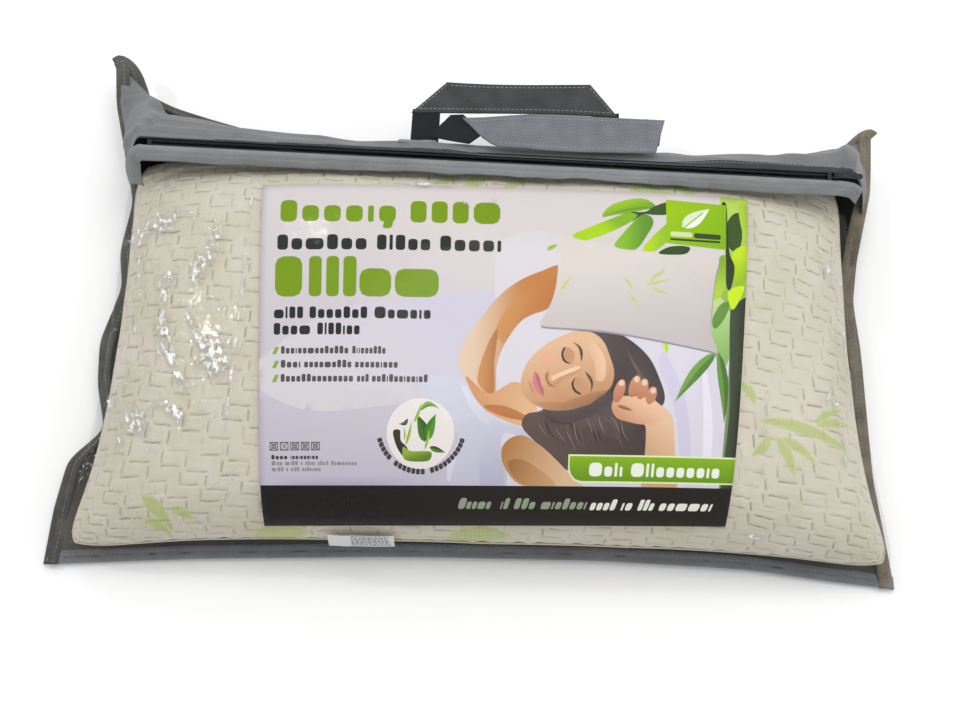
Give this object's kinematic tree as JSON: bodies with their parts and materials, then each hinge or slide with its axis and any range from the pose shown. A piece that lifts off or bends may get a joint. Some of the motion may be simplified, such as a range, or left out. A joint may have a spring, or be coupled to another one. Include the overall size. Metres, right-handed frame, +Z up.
{
  "type": "bed pillow in carry bag",
  "caption": "Stuffed bed pillow with a knitted zipped cover, lying in a zipped carry bag with a clear window, a printed card and carry handles.",
  "frame": {"origin": "on the floor under the middle of the bag's back panel", "axes": "+X along the zip to its closed end, +Y towards the zip and the handles, +Z up, out of the clear window"},
  "size_m": [0.751, 0.472, 0.1336],
  "materials": {
    "bag_fabric": "grey non-woven twill, matt",
    "window_film": "clear glossy soft film",
    "binding_tape": "charcoal folded tape, matt",
    "zip_tape": "black woven tape",
    "zip_coil": "black nylon coil",
    "zip_metal": "black enamelled metal",
    "strap_light": "grey twill strap with a black lining",
    "strap_dark": "charcoal twill strap",
    "card_print": "printed glossy card",
    "cover_knit": "ivory embossed knit",
    "cover_thread": "ivory overlock thread",
    "label_satin": "white satin ribbon",
    "cover_zip": "ivory zip tape and coil",
    "cover_zip_metal": "ivory enamelled metal",
    "liner_cloth": "white non-woven liner",
    "foam": "crushed foam"
  },
  "bodies": {
    "bag_and_pillow": {"bag_back_panel": "bag_fabric", "bag_gusset": "bag_fabric", "bag_front_strip": "bag_fabric", "bag_window": "window_film", "bag_binding_left": "binding_tape", "bag_binding_right": "binding_tape", "bag_binding_front": "binding_tape", "bag_binding_rear": "binding_tape", "zip_tape_front": "zip_tape", "zip_tape_rear": "zip_tape", "zip_coil_front": "zip_coil", "zip_coil_rear": "zip_coil", "zip_stops": "zip_metal", "handle_tabs": "bag_fabric", "card_insert": "card_print", "cover_top": "cover_knit", "cover_bottom": "cover_knit", "cover_seam": "cover_thread", "care_label": "label_satin", "cover_zip_tapes": "cover_zip", "cover_zip_coil": "cover_zip", "liner_top": "liner_cloth", "liner_bottom": "liner_cloth", "foam_fill": "foam"},
    "zip_slider": {"zip_slider": "zip_metal"},
    "zip_pull": {"zip_pull": "zip_metal"},
    "front_handle": {"front_handle": "strap_light"},
    "rear_handle": {"rear_handle": "strap_dark"},
    "cover_zip_slider": {"cover_zip_slider": "cover_zip_metal"},
    "cover_zip_pull": {"cover_zip_pull": "cover_zip_metal"}
  },
  "joints": [
    {"name": "zip_slide", "type": "slide", "parent": "bag_and_pillow", "child": "zip_slider", "axis": [0.9996, -0.0279, 0], "range_m": [-0.59, 0]},
    {"name": "zip_pull_turn", "type": "hinge", "parent": "zip_slider", "child": "zip_pull", "pos_m": [0.31148, 0.1523, 0.1152], "axis": [-0.0279, -0.9996, 0], "range_deg": [0, 170]},
    {"name": "front_handle_turn", "type": "hinge", "parent": "bag_and_pillow", "child": "front_handle", "pos_m": [0.027, 0.172, 0.112], "axis": [1, 0, 0], "range_deg": [-7, 95]},
    {"name": "rear_handle_turn", "type": "hinge", "parent": "bag_and_pillow", "child": "rear_handle", "pos_m": [0.027, 0.181, 0.098], "axis": [1, 0, 0], "range_deg": [-7, 95]},
    {"name": "cover_zip_slide", "type": "slide", "parent": "bag_and_pillow", "child": "cover_zip_slider", "axis": [1, 0, 0], "range_m": [-0.44, 0]},
    {"name": "cover_zip_pull_turn", "type": "hinge", "parent": "cover_zip_slider", "child": "cover_zip_pull", "pos_m": [0.2325, 0.188, 0.046], "axis": [0, 0, 1], "range_deg": [-8, 0]}
  ],
  "couplings": [
    {"joint": "rear_handle_turn", "follows": "front_handle_turn", "ratio": 1}
  ]
}
